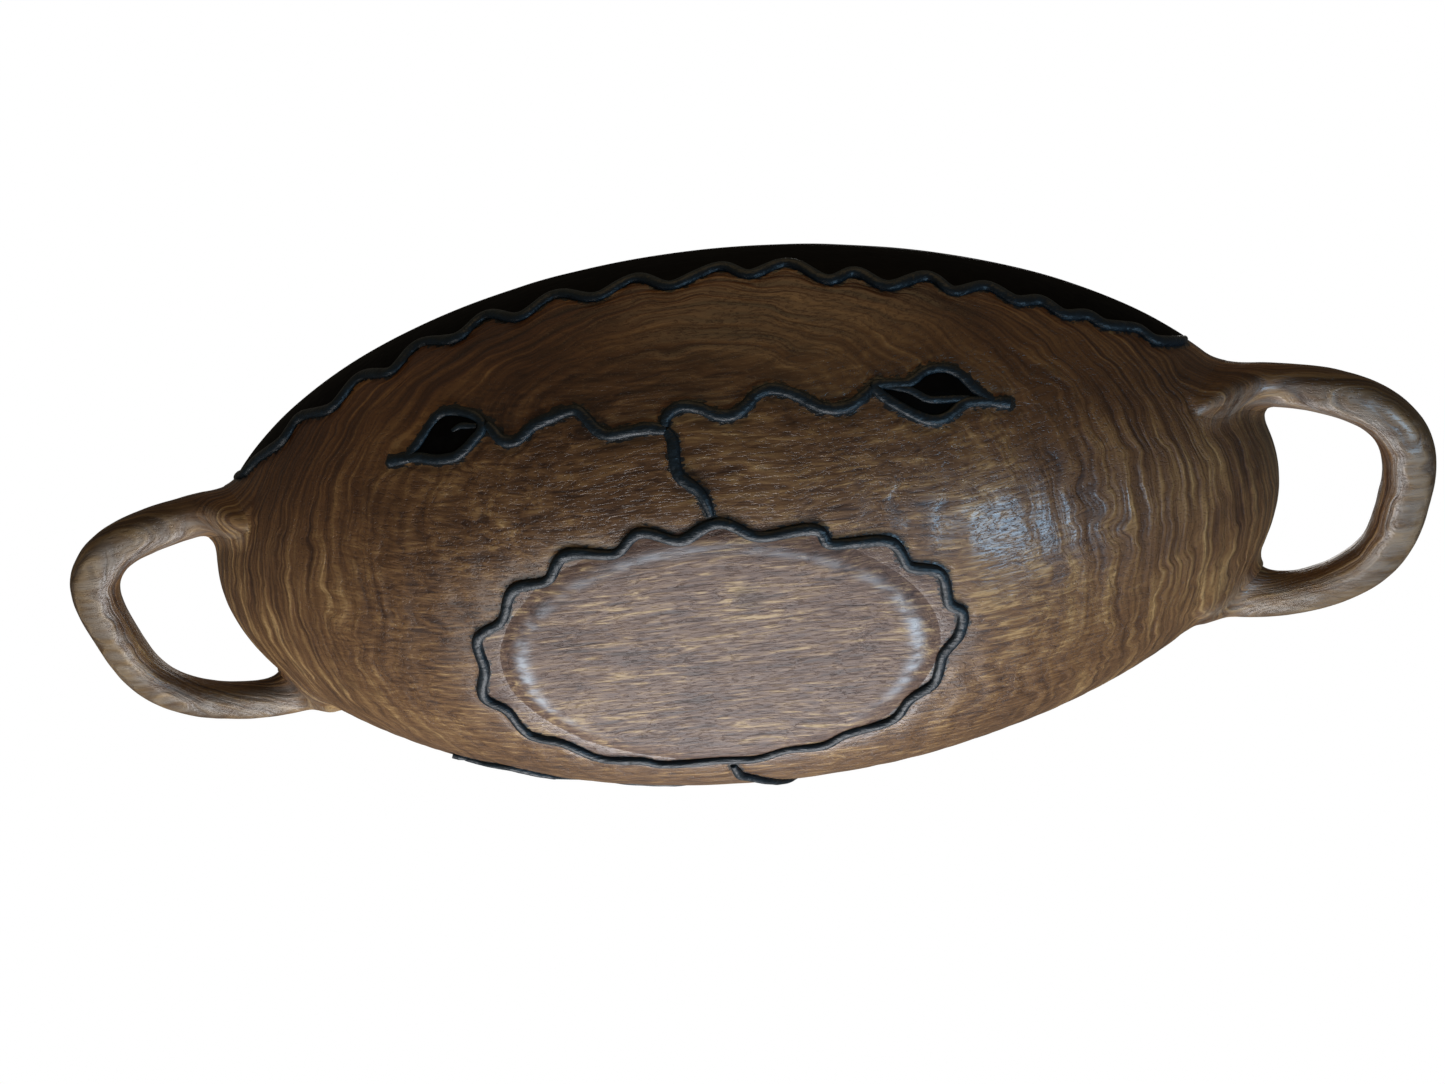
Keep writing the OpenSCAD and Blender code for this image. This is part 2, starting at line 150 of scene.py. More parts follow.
# One leaf for each corner: its branch, outline, tip and rib
LEAVES = {
    "front_left": (LEFT_BRANCH, LEFT_LEAF, LEFT_TIP, LEFT_RIB),
    "front_right": (RIGHT_BRANCH, RIGHT_LEAF, RIGHT_TIP, RIGHT_RIB),
    "back_left": (BACK_LEFT_BRANCH, *all_moved((RIGHT_LEAF, RIGHT_TIP, RIGHT_RIB), BACK_LEFT_SHIFT)),
    "back_right": (BACK_RIGHT_BRANCH, *all_moved((LEFT_LEAF, LEFT_TIP, LEFT_RIB), BACK_RIGHT_SHIFT)),
}
STEMS = {"front": STEM, "back": BACK_STEM}
HALF_TURN = {"front": (0, 0), "back": (180, 0)}


# ------------------------------------------------------------- seeded noise
def lattice(i, j, k, seed):
    """A repeatable value from -1 to 1 for each corner of a grid."""
    n = (i * 73856093) ^ (j * 19349663) ^ (k * 83492791) ^ (seed * 668265263)
    n = (n ^ (n >> 13)) * 1274126177
    n = n ^ (n >> 16)
    return (n & 0xFFFFFF) / 8388607.5 - 1


def noise(points, size, seed):
    """Smooth noise from -1 to 1 whose bumps are about `size` metres across."""
    p = np.asarray(points, float) / np.asarray(size, float)
    cell = np.floor(p).astype(np.int64)
    f = p - cell
    f = f * f * f * (f * (f * 6 - 15) + 10)
    total = np.zeros(len(p))
    for a in (0, 1):
        for b in (0, 1):
            for c in (0, 1):
                weight = (
                    (f[:, 0] if a else 1 - f[:, 0])
                    * (f[:, 1] if b else 1 - f[:, 1])
                    * (f[:, 2] if c else 1 - f[:, 2])
                )
                total += weight * lattice(cell[:, 0] + a, cell[:, 1] + b, cell[:, 2] + c, seed)
    return total


# --------------------------------------------------------- the bowl's shape
def flare(share, curve):
    return (1 - (1 - np.clip(share, 0, 1)) ** curve[0]) ** (1 / curve[1])


def unflare(part, curve):
    return 1 - (1 - part ** curve[1]) ** (1 / curve[0])


def smooth_step(value):
    value = np.clip(value, 0, 1)
    return value * value * (3 - 2 * value)


def rim_level(x):
    return FOOT_RISE + (RIM_Z - FOOT_RISE) * (1 - RIM_DIP * (x / BOWL_A) ** 2)


def outside(turn, share):
    """Points of the flank."""
    a = np.radians(turn)
    x = (FOOT_A + (BOWL_A - FOOT_A) * flare(share, LENGTH_CURVE)) * np.sin(a)
    y = -(FOOT_B + (BOWL_B - FOOT_B) * flare(share, WIDTH_CURVE)) * np.cos(a)
    z = FOOT_RISE + (rim_level(x) - FOOT_RISE) * share
    return np.stack(np.broadcast_arrays(x, y, z), -1)


def hollow(turn, share):
    """Points of the hollow, from its floor at share 0 to the rim at 1."""
    a = np.radians(turn)
    x = (FLOOR_A + (BOWL_A - WALL - FLOOR_A) * flare(share, LENGTH_CURVE)) * np.sin(a)
    y = -(FLOOR_B + (BOWL_B - WALL - FLOOR_B) * flare(share, WIDTH_CURVE)) * np.cos(a)
    z = FLOOR_Z + (rim_level(x) - FLOOR_Z) * share
    return np.stack(np.broadcast_arrays(x, y, z), -1)


def unit(v):
    return v / np.maximum(np.linalg.norm(v, axis=-1, keepdims=True), 1e-12)


def run_along(path):
    """How far along a path each of its points lies."""
    return np.concatenate([[0], np.cumsum(np.linalg.norm(np.diff(path, axis=0), axis=1))])


def outward(turn, share):
    """The direction straight out of the wood."""
    s = np.clip(share, 0.004, 0.998)
    across = outside(turn + 0.1, s) - outside(turn - 0.1, s)
    up = outside(turn, s + 0.002) - outside(turn, s - 0.002)
    return unit(np.cross(across, up))


def curve_points(route, steps, closed=False):
    """A smooth curve through a route, with `steps` points per stretch."""
    p = np.array(route, float)
    n = len(p)
    out = []
    for i in range(n if closed else n - 1):
        if closed:
            a, b, c, d = p[i - 1], p[i], p[(i + 1) % n], p[(i + 2) % n]
        else:
            a, b, c, d = p[max(i - 1, 0)], p[i], p[i + 1], p[min(i + 2, n - 1)]
        for u in np.arange(steps) / steps:
            out.append(
                0.5 * (2 * b + (c - a) * u + (2 * a - 5 * b + 4 * c - d) * u * u
                       + (3 * b - a - 3 * c + d) * u ** 3)
            )
    if not closed:
        out.append(p[-1])
    return np.array(out)


def foot_cord_route():
    """The ring round the foot, as [turn, share]."""
    waves = np.array(FOOT_CORD_WAVES) * [1, MM]
    steps = 12
    path = np.concatenate([moved(waves[-1:], (-360, 0)), waves, moved(waves[:2], (360, 0))])
    fine = curve_points(path, steps)[steps:-steps - 1]
    part_x = np.maximum(0, FOOT_CORD_A + fine[:, 1] - FOOT_A) / (BOWL_A - FOOT_A)
    part_y = np.maximum(0, FOOT_CORD_B + fine[:, 1] - FOOT_B) / (BOWL_B - FOOT_B)
    s = np.sin(np.radians(fine[:, 0])) ** 2
    share = unflare(part_x, LENGTH_CURVE) * s + unflare(part_y, WIDTH_CURVE) * (1 - s)
    return np.stack([fine[:, 0], share], -1)


# ------------------------------------------------------------ mesh building
def add_piece(name, points, faces, material, nodes, fields=None):
    """A mesh piece that stands for the named CAD nodes, with its fields."""
    mesh = bpy.data.meshes.new(name)
    mesh.from_pydata([tuple(p) for p in points], [], faces)
    mesh.validate()
    mesh.update()
    piece = bpy.data.objects.new(name, mesh)
    bpy.context.scene.collection.objects.link(piece)
    mesh.polygons.foreach_set("use_smooth", [True] * len(mesh.polygons))
    add_fields(mesh, np.asarray(points), fields or {})
    mesh.materials.append(material)
    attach(piece, "root")
    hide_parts(*nodes)


def add_fields(mesh, points, fields):
    """The wood's own coordinates, and any other value known at each point."""
    grain = mesh.attributes.new("grain", "FLOAT_VECTOR", "POINT")
    grain.data.foreach_set("vector", wood_coordinates(points).astype(np.float32).ravel())
    for key, values in fields.items():
        field = mesh.attributes.new(key, "FLOAT", "POINT")
        field.data.foreach_set("value", np.asarray(values, np.float32))


def wood_coordinates(points):
    """Along the grain, out through the growth layers, and across the board."""
    x, y, z = points.T
    wander = (
        3.4 * MM * noise(points, (110 * MM, 70 * MM, 70 * MM), 1)
        + 1.3 * MM * noise(points, (40 * MM, 26 * MM, 26 * MM), 2)
        + 0.65 * MM * noise(points, (14 * MM, 9 * MM, 9 * MM), 3)
        + 0.46 * MM * noise(points, (8 * MM, 5 * MM, 5 * MM), 4)
    )
    layer = LOG_Z - np.hypot(y, z - LOG_Z) + wander
    return np.stack([x, layer, y + 3 * MM * noise(points, 50 * MM, 5)], -1)


def steepness(points, outs):
    """0 where a surface lies along the growth layers, 1 where it cuts them."""
    inward = unit(points * [0, 1, 1] - [0, 0, LOG_Z])
    along = np.abs((inward * outs).sum(-1))
    return smooth_step((np.sqrt(np.clip(1 - along * along, 0, 1)) - 0.16) / 0.28)


def grid_faces(rings, sides, looped=False):
    """Quads between rings of points, and from the last ring to the first if looped."""
    faces = []
    for r in range(rings if looped else rings - 1):
        here, there = r * sides, (r + 1) % rings * sides
        for k in range(sides):
            after = (k + 1) % sides
            faces.append((here + k, here + after, there + after, there + k))
    return faces


def turned_over(faces):
    return [tuple(reversed(face)) for face in faces]


def capped(rings):
    """Points and faces of a skin over rings, closed at both ends."""
    n = len(rings[0])
    points = np.concatenate([*rings, [rings[0].mean(0)], [rings[-1].mean(0)]])
    faces = grid_faces(len(rings), n)
    start, end = len(rings) * n, len(rings) * n + 1
    last = (len(rings) - 1) * n
    faces += [(start, (k + 1) % n, k) for k in range(n)]
    faces += [(end, last + k, last + (k + 1) % n) for k in range(n)]
    return points, faces


# ---------------------------------------------------------------- the relief
def to_surface(route, lift=0.0):
    """Points of the flank along a route, or lifted off it."""
    turns, shares = np.asarray(route, float).T
    return outside(turns, shares) + np.asarray(lift)[..., None] * outward(turns, shares)


def nearest_finder(spots):
    tree = KDTree(len(spots))
    for i, spot in enumerate(spots):
        tree.insert(spot, i)
    tree.balance()
    return tree


def gap_to(points, routes):
    """Distance from each point to the nearest of the routes, up to the limit."""
    tree = nearest_finder(np.concatenate([to_surface(r) for r in routes]))
    return np.array([min(tree.find(p)[2], GAP_LIMIT) for p in points])


CORD_SIDES = 14


def cord_rings(route, closed, start=0.7, end=0.7, size=1.0):
    """Half-round rings along a route, with the small wavers of a knife."""
    points = to_surface(route)
    outs = outward(route[:, 0], route[:, 1])
    if closed:
        along = unit(np.roll(points, -1, 0) - np.roll(points, 1, 0))
    else:
        along = unit(np.gradient(points, axis=0))
    side = unit(np.cross(outs, along))
    taper = np.ones(len(route))
    if not closed:
        run = run_along(points)
        at_start = start + (1 - start) * run / CORD_TAPER
        at_end = end + (1 - end) * (run[-1] - run) / CORD_TAPER
        taper = np.minimum.reduce([taper, at_start, at_end])
    width = size * taper * (1 + 0.12 * noise(points, 9 * MM, 11))
    height = size * taper * (1 + 0.10 * noise(points, 7 * MM, 12))
    rings = []
    for k in range(CORD_SIDES + 1):
        a = math.pi * k / CORD_SIDES
        across = width * CORD_WIDTH / 2 * math.cos(a)
        lift = height * CORD_HEIGHT * math.sin(a) ** 0.8
        facet = 0.10 * MM * noise(points + side * across[:, None], 5 * MM, 13)
        rings.append(points + side * across[:, None] + outs * (lift + facet)[:, None])
    for k in range(3, -1, -1):
        across = width * CORD_WIDTH / 2 * (k / 3 * 2 - 1) * -1
        rings.append(points + side * (across * 0.95)[:, None] - outs * BED)
    return np.stack(rings, 1)


def add_cord(name, route, node, closed=False, steps=8, **shape):
    """A raised cord. A route that is fine enough already has no steps."""
    fine = curve_points(route, steps, closed) if steps else np.asarray(route, float)
    rings = cord_rings(fine, closed, **shape)
    if closed:
        points, faces = rings.reshape(-1, 3), grid_faces(*rings.shape[:2], looped=True)
    else:
        points, faces = capped(list(rings))
    add_piece(name, points, faces, blackened, [node])


# ----------------------------------------------------------------- handles
HANDLE_LEVEL = 60 * MM
HANDLE_FALL = 0.22
ROOT_SHARE = 0.78
BAR_HEIGHT = 14.5 * MM
HANDLES = {
    "right": {"side": 1, "reach": 254 * MM, "arms": (-51 * MM, 47 * MM), "squares": (2.7, 2.7),
              "width": 16 * MM, "back_thicker": 0.13},
    "left": {"side": -1, "reach": 261 * MM, "arms": (-47 * MM, 54 * MM), "squares": (3.4, 2.8),
             "width": 18 * MM, "back_thicker": 0.0},
}
# How each arm goes on from its last free point, in millimetres: back towards
# the bowl, out across it, and up. It runs out on the flank as a blunt spur in
# front and sinks in at the back, its middle no deeper in the wood than this.
FRONT_ROOT = [
    (-4, 0.5, 0.7), (-10, 1.4, 0.6), (-16, 2.2, -1.4), (-22, 2.4, -5), (-28, 1.8, -8.6),
    (-34, 0.8, -11), (-39, 0, -13),
]
BACK_ROOT = [
    (-4, 0, 0.9), (-9, -0.3, 0.6), (-14, -1, -1.8), (-19, -2.5, -5), (-24, -5, -8.5), (-28, -8, -11),
    (-31, -10.5, -12.5),
]
FRONT_DEPTH = 2.6 * MM
BACK_DEPTH = 4.9 * MM
ROOT_BURIAL = 5 * MM
ROOT_LENGTH = 15 * MM
ROOT_NOSE = 8 * MM
# A bar is a root up to here, and free of the bowl this much farther out
ROOT_X = 196 * MM
CLEAR_LENGTH = 26 * MM
# Its top is flattened where it would come nearer to the rim's level than this
RIM_MARGIN = 0.6 * MM
# The roots keep this much of the bars' pale mark, which is partly wear and partly a painted sheen
ROOT_WEAR_AND_SHEEN = 0.85
BAR_SIDES = 56
# Distances to a bar are worked out for this many points at a time
BLOCK = 4000


def signed_power(value, square):
    return np.sign(value) * np.abs(value) ** (2 / square)


def handle_path(handle):
    """The middle line of a handle on the right, with its buried ends."""
    front, back = handle["arms"]
    width_there = FOOT_B + (BOWL_B - FOOT_B) * flare(ROOT_SHARE, WIDTH_CURVE)
    length_there = FOOT_A + (BOWL_A - FOOT_A) * flare(ROOT_SHARE, LENGTH_CURVE)
    root_x = length_there * math.sin(math.acos(-back / width_there))
    a = np.radians(np.linspace(-80, 80, 121))
    square = np.where(a < 0, *handle["squares"])
    x = root_x + (handle["reach"] - root_x) * signed_power(np.cos(a), square)
    y = (front + back) / 2 + (back - front) / 2 * signed_power(np.sin(a), square)
    z = HANDLE_LEVEL - HANDLE_FALL * (x - BOWL_A)
    loop = np.stack([x, y, z], -1)
    start = loop[0] + curve_points(np.array(FRONT_ROOT) * [1, -1, 1] * MM, 6)
    end = loop[-1] + curve_points(np.array(BACK_ROOT) * MM, 6)
    path = np.concatenate([start[::-1], loop, end])
    depth = np.where(np.arange(len(path)) < len(path) / 2, FRONT_DEPTH, BACK_DEPTH)
    for _ in range(4):
        distance, normal = flank_distance(path)
        path = path + normal * np.maximum(-depth - distance, 0)[:, None]
    return evened(path)


def evened(path):
    """A path with its points a millimetre apart and its kinks smoothed away."""
    run = run_along(path)
    places = np.linspace(0, run[-1], round(run[-1] / MM))
    path = np.stack([np.interp(places, run, axis) for axis in path.T], -1)
    for _ in range(14):
        path[1:-1] = (path[:-2] + 2 * path[1:-1] + path[2:]) / 4
    return path


def handle_frames(handle):
    """Middle, side and up at each ring of a handle, with its half sizes."""
    path = handle_path(handle)
    along = unit(np.gradient(path, axis=0))
    side = unit(np.cross(along, [0, 0, 1.0]))
    up = np.cross(side, along)
    run = run_along(path)
    part = run / run[-1]
    middle = np.sin(math.pi * part)
    to_end = np.minimum(run, run[-1] - run)
    free = smooth_step(to_end / ROOT_LENGTH)
    nose = 0.15 + 0.85 * np.sqrt(1 - (1 - np.clip(to_end / ROOT_NOSE, 0, 1)) ** 2)
    thicker = 1 + handle["back_thicker"] * smooth_step(2 * part - 0.6)
    half_wide = handle["width"] / 2 * (0.9 + 0.12 * middle) * (0.78 + 0.22 * free) * nose * thicker
    half_high = BAR_HEIGHT / 2 * (0.97 + 0.04 * middle) * (0.68 + 0.32 * free) * nose
    return path, side, up, half_wide, half_high


def squareness(b):
    return 2.2 + 0.5 * np.clip(-np.sin(b), 0, 1) ** 2


def section(b):
    """The section of a bar: round above, a little flatter below."""
    square = squareness(b)
    return signed_power(np.cos(b), square), signed_power(np.sin(b), square)


def tube_distance(points, frames):
    """Roughly how far points lie outside a handle's bar, where on its section
    they are nearest, and whether that is on the back arm."""
    path, side, up, half_wide, half_high = frames
    along = np.cross(up, side)
    nearest = np.empty(len(points), int)
    for start in range(0, len(points), BLOCK):
        block = points[start:start + BLOCK]
        nearest[start:start + BLOCK] = ((block[:, None] - path[None]) ** 2).sum(-1).argmin(1)
    offset = points - path[nearest]
    u = (offset * side[nearest]).sum(-1)
    v = (offset * up[nearest]).sum(-1)
    w, h = half_wide[nearest], half_high[nearest]
    square = squareness(np.arctan2(v / h, u / w))
    level = ((np.abs(u) / w) ** square + (np.abs(v) / h) ** square) ** (1 / square) + 1e-9
    away = (level - 1) * np.minimum(w, h)
    beyond = np.abs((offset * along[nearest]).sum(-1))
    ended = (nearest == 0) | (nearest == len(path) - 1)
    is_back = nearest > len(path) / 2
    return np.where(ended, np.maximum(away, beyond), away), u / w / level, v / h / level, is_back


def flank_level(points):
    x, y, z = points.T
    share = np.clip((z - FOOT_RISE) / (rim_level(x) - FOOT_RISE), 0, 1)
    a = FOOT_A + (BOWL_A - FOOT_A) * flare(share, LENGTH_CURVE)
    b = FOOT_B + (BOWL_B - FOOT_B) * flare(share, WIDTH_CURVE)
    return np.hypot(x / a, y / b) - 1


def flank_distance(points):
    """Roughly how far points lie outside the bowl's flank, and which way is out."""
    here = flank_level(points)
    slope = np.stack([flank_level(points + step) - here for step in np.eye(3) * 0.2 * MM], -1) / (0.2 * MM)
    steepest = np.linalg.norm(slope, axis=-1)
    return here / steepest, slope / steepest[:, None]


def blend_size(across, height, is_back):
    """How wide the fillet is where a bar meets the flank: wide above and on
    the inner side of the back arms, narrow below."""
    inside = np.clip(-across, 0, 1) * np.where(is_back, 14, 5)
    return (1.6 + 10 * np.clip(0.45 + 0.6 * height, 0, 1) + inside) * MM


def blended(first, second, blend):
    """A smooth union of two distances."""
    mix = np.maximum(blend - np.abs(first - second), 0) / blend
    return np.minimum(first, second) - mix ** 2 * blend / 4


def paleness(u, v):
    """How pale a bar is at a place on its section, partly wear and partly a painted sheen: most on the
    inner lower edge.
    """
    return np.clip(1.8 * (-0.95 * v - 0.2 * u) - 0.85, 0, 1)


def clear_of_bowl(points):
    """0 at the roots of the handles, growing to 1 along their bars."""
    return np.clip((np.abs(points[:, 0]) - ROOT_X) / CLEAR_LENGTH, 0, 1)


# The fillets' two meshes overlap by this much, and are settled in this many steps
OVERLAP = 0.35 * MM
SETTLE_STEPS = 30
# The flank swells only within this distance of certain rings of a bar
ROOT_REACH = 38 * MM
ROOT_RINGS = (4, 30, -5, -26)


def settled(swell, first, second, blend):
    """One step towards the swell at which a point lies on the fillet."""
    return np.clip(swell - 0.7 * blended(first, second, blend), 0, blend / 4 + OVERLAP)


def root_swell(points, outs):
    """How far the flank rises round the roots of the handles, and how pale it is
    there, partly wear and partly a painted sheen. The handles' own meshes take over halfway up the fillet."""
    swell, wear_and_sheen = np.zeros(len(points)), np.zeros(len(points))
    for handle in HANDLES.values():
        frames = handle_frames(handle)
        mirrored = np.array([handle["side"], 1, 1])
        to_rings = [np.linalg.norm(points * mirrored - frames[0][i], axis=1) for i in ROOT_RINGS]
        near = np.nonzero(np.min(to_rings, axis=0) < ROOT_REACH)[0]
        p, n = points[near] * mirrored, outs[near] * mirrored
        rise = np.zeros(len(near))
        for _ in range(SETTLE_STEPS):
            away, across, height, is_back = tube_distance(p + n * rise[:, None], frames)
            rise = settled(rise, rise, away, blend_size(across, height, is_back))
        swell[near] = np.maximum(swell[near], rise)
        wear_and_sheen[near] = np.maximum(wear_and_sheen[near], paleness(across, height) * np.clip(rise / (2 * MM), 0, 1))
    return swell, wear_and_sheen


def root_flare(spots, out, blend):
    """How far a bar swells towards the flank near its roots, but not inside it."""
    rise = np.zeros(len(spots))
    for _ in range(SETTLE_STEPS):
        clear = flank_distance(spots + out * rise[:, None])[0]
        rise = settled(rise, clear, rise, blend)
    return rise * smooth_step(1 + flank_distance(spots)[0] / (2 * MM))


def add_handle(name, handle, node):
    path, side, up, half_wide, half_high = handle_frames(handle)
    u, v = section(2 * math.pi * np.arange(BAR_SIDES) / BAR_SIDES)
    arms = side[:, None] * (u * half_wide[:, None])[..., None]
    arms = arms + up[:, None] * (v * half_high[:, None])[..., None]
    spots = (path[:, None] + arms).reshape(-1, 3)
    out = unit(arms.reshape(-1, 3))
    across, height = np.tile(u, len(path)), np.tile(v, len(path))
    level = np.hypot(across, height)
    is_back = np.repeat(np.arange(len(path)) > len(path) / 2, BAR_SIDES)
    grown = root_flare(spots, out, blend_size(across / level, height / level, is_back))
    dent = 0.28 * MM * noise(spots, 14 * MM, 21) + 0.10 * MM * noise(spots, 5 * MM, 22)
    spots = spots + out * (grown + dent * clear_of_bowl(spots))[:, None]
    distance, normal = flank_distance(spots)
    spots = spots + normal * np.maximum(-ROOT_BURIAL - distance, 0)[:, None]
    above_rim = np.maximum(spots[:, 2] - rim_level(spots[:, 0]) + RIM_MARGIN, 0)
    spots[:, 2] -= 0.85 * above_rim * (1 - smooth_step(clear_of_bowl(spots)))
    points, faces = capped(list(spots.reshape(len(path), BAR_SIDES, 3)))
    ends = [0, 0]
    clear = clear_of_bowl(points)
    # The bar is painted pale on its inner lower edge, partly wear and partly a painted sheen, a little
    # less at the roots
    wear_and_sheen = np.append(paleness(across, height), ends) * (ROOT_WEAR_AND_SHEEN + (1 - ROOT_WEAR_AND_SHEEN) * clear)
    outer = np.append(np.clip(0.35 + 0.6 * across - 0.6 * height, 0, 1), ends)
    if handle["side"] < 0:
        points = points * [-1, 1, 1]
    else:
        faces = turned_over(faces)
    add_piece(name, points, faces, handle_wood, [node],
              wood_fields(points, pale=wear_and_sheen, shift=outer * clear))


# --------------------------------------------------------- body, foot, band
AROUND = 900
OUTER_RINGS = 150
LIP_RINGS = 9
HOLLOW_RINGS = 84
FLOOR_RINGS = 30
# The rings lie closer near the foot and the floor, by this power
CROWDING = 1.45
# The carver's marks: knife ripples, terraces along the growth layers, a groove
# beside each cord, and the tooling inside. They fade over this share of the
# height at the foot and the rim.
RIPPLE = 0.30 * MM
TERRACE = 0.10 * MM
TERRACE_SPACING = 2.9 * MM
GROOVE = 0.35 * MM
GROOVE_AWAY = 3.0 * MM
GROOVE_WIDTH = 1.1 * MM
TOOLING = 0.35 * MM
EDGE_FADE = 0.03


def ring_places(shares):
    turns, shares = np.meshgrid(np.arange(AROUND) * 360 / AROUND, shares)
    return turns.ravel(), shares.ravel()


def add_body():
    turns = np.arange(AROUND) * 360 / AROUND
    t, s = ring_places(np.linspace(0, 1, OUTER_RINGS) ** CROWDING)
    outs = outward(t, s)
    outer = outside(t, s)
    gap = gap_to(outer, relief_routes())
    calm = np.clip(np.minimum(s / EDGE_FADE, (1 - s) / EDGE_FADE), 0, 1)
    ripple = RIPPLE * noise(outer, (34 * MM, 26 * MM, 26 * MM), 31)
    layers = wood_coordinates(outer)[:, 1]
    terrace = TERRACE * np.sin(2 * math.pi * layers / TERRACE_SPACING)
    groove = -GROOVE * np.exp(-((gap - GROOVE_AWAY) / GROOVE_WIDTH) ** 2)
    swell, wear_and_sheen = root_swell(outer, outs)
    swell *= smooth_step((1 - s) / EDGE_FADE)
    calm *= 1 - smooth_step(swell / (1 * MM))
    outer = outer + outs * ((ripple + terrace + groove) * calm + swell)[:, None]

    edge_out = outside(turns, np.ones(AROUND))
    edge_in = hollow(turns, np.ones(AROUND))
    lip = []
    for i in range(1, LIP_RINGS + 1):
        a = math.pi * i / (LIP_RINGS + 1)
        spot = (edge_out + edge_in) / 2 + (edge_out - edge_in) / 2 * math.cos(a)
        spot[:, 2] += LIP_CROWN * math.sin(a) ** 0.7 + 0.15 * MM * noise(spot, 30 * MM, 32)
        lip.append(spot)
    lip = np.concatenate(lip)

    inner_t, inner_s = ring_places(np.linspace(1, 0, HOLLOW_RINGS) ** CROWDING)
    inner = hollow(inner_t, inner_s)
    slope = unit(np.array([0, 0, 60 * MM]) - inner * [0.8, 0.8, 0.6])
    tooled = TOOLING * noise(inner, 24 * MM, 33) * np.clip((1 - inner_s) / EDGE_FADE, 0, 1)
    inner = inner + slope * tooled[:, None]

    floor = []
    for part in np.linspace(1, 0, FLOOR_RINGS)[1:-1]:
        ring = hollow(turns, np.zeros(AROUND)) * [part, part, 1]
        ring[:, 2] += TOOLING * noise(ring, 24 * MM, 33)
        floor.append(ring)
    floor = np.concatenate(floor)

    points = np.concatenate([outer, lip, inner, floor])
    rows = len(points) // AROUND
    faces = grid_faces(rows, AROUND)
    under = [0, 0, FOOT_RISE], [0, 0, FLOOR_Z]
    points = np.concatenate([points, under])
    base, top = rows * AROUND, rows * AROUND + 1
    last = (rows - 1) * AROUND
    faces += [(base, (k + 1) % AROUND, k) for k in range(AROUND)]
    faces += [(top, last + k, last + (k + 1) % AROUND) for k in range(AROUND)]
    ring_turns, ring_shares = foot_cord_route().T
    order = np.argsort(ring_turns % 360)
    in_ring = s < np.interp(t, ring_turns[order] % 360, ring_shares[order], period=360)
    in_front = smooth_step(2.2 * np.cos(np.radians(t)) - 0.6)

    def beyond_flank(values, rest):
        return np.append(values, np.full(len(points) - len(values), rest))

    add_piece("bowl_body", points, faces, body_wood, ["bowl_shell"], wood_fields(
        points,
        # The pale mark round the handles' roots, partly wear and partly a painted sheen
        pale=beyond_flank(ROOT_WEAR_AND_SHEEN * wear_and_sheen, 0),
        gap=beyond_flank(gap, GAP_LIMIT),
        shift=beyond_flank(in_ring, 0),
        steep=beyond_flank(steepness(outer, outs), 1),
        # A painted shade on the front's flank, darker towards the rim
        painted_shade=beyond_flank(smooth_step(s / 0.6) * in_front, 0),
    ))


# The foot's soft edge: how far it reaches in over the pad and out over the flank
FOOT_SOFT = 7.5 * MM
FOOT_SKIRT = 5 * MM
# The skirt's edge is tucked into the flank by this much
FOOT_TUCK = 0.12 * MM
FOOT_AROUND = 600
EDGE_RINGS = 26
PAD_RINGS = 70


def foot_wear_and_sheen(points):
    """The foot's edge is painted pale and bluish along the front and the sides, not at the back: partly
    rubbed wear, partly a painted highlight where the lamps catch the soft edge.
    """
    x, y = points[:, 0] / FOOT_A, points[:, 1] / FOOT_B
    edge = np.hypot(x, y)
    turn = np.arctan2(x, -y)
    arcs = np.clip(np.cos(turn), 0, 1) ** 4 * 0.7 + np.abs(np.sin(turn)) ** 5
    return 1.7 * np.exp(-((edge - 0.94) / 0.035) ** 2) * arcs


def add_foot():
    """A flat oval pad whose wide soft edge runs out over the flank."""
    a = 2 * math.pi * np.arange(FOOT_AROUND) / FOOT_AROUND
    rings = []
    for out in np.linspace(FOOT_SKIRT, -FOOT_SOFT, EDGE_RINGS):
        x = (FOOT_A + out) * np.sin(a)
        y = -(FOOT_B + out) * np.cos(a)
        part = np.clip((out + FOOT_SOFT) / (FOOT_SOFT + FOOT_SKIRT), 0, 1)
        if out > 0:
            level_x = unflare(out / (BOWL_A - FOOT_A), LENGTH_CURVE)
            level_y = unflare(out / (BOWL_B - FOOT_B), WIDTH_CURVE)
            share = level_x * np.sin(a) ** 2 + level_y * np.cos(a) ** 2
            flank = FOOT_RISE + (rim_level(x) - FOOT_RISE) * share
        else:
            flank = np.full_like(x, FOOT_RISE)
        height = flank * smooth_step(part) + FOOT_TUCK * (part > 0.99)
        rings.append(np.stack([x, y, height], -1))
    edge = rings[-1]
    for part in np.linspace(1, 0, PAD_RINGS)[1:-1]:
        rings.append(edge * [part, part, 1])
    points, faces = capped(rings)
    points[:, 2] += 0.07 * MM * (1 + noise(points, (36 * MM, 10 * MM, 10 * MM), 41))
    add_piece("foot", points, turned_over(faces), foot_wood, ["foot_pad"],
              wood_fields(points, pale=foot_wear_and_sheen(points), shift=1, steep=0))


def wood_fields(points, pale=0.0, gap=GAP_LIMIT, shift=0.0, steep=1.0, painted_shade=0.0):
    """What the wood's material reads besides the grain: how pale it is on a worn
    edge with a painted sheen, how far the nearest cord is, how far it has the second tones,
    how steeply it cuts the growth layers, and how much painted shade darkens it."""
    return {key: np.broadcast_to(value, len(points)) for key, value in
            (("pale", pale), ("gap", gap), ("shift", shift), ("steep", steep), ("painted_shade", painted_shade))}


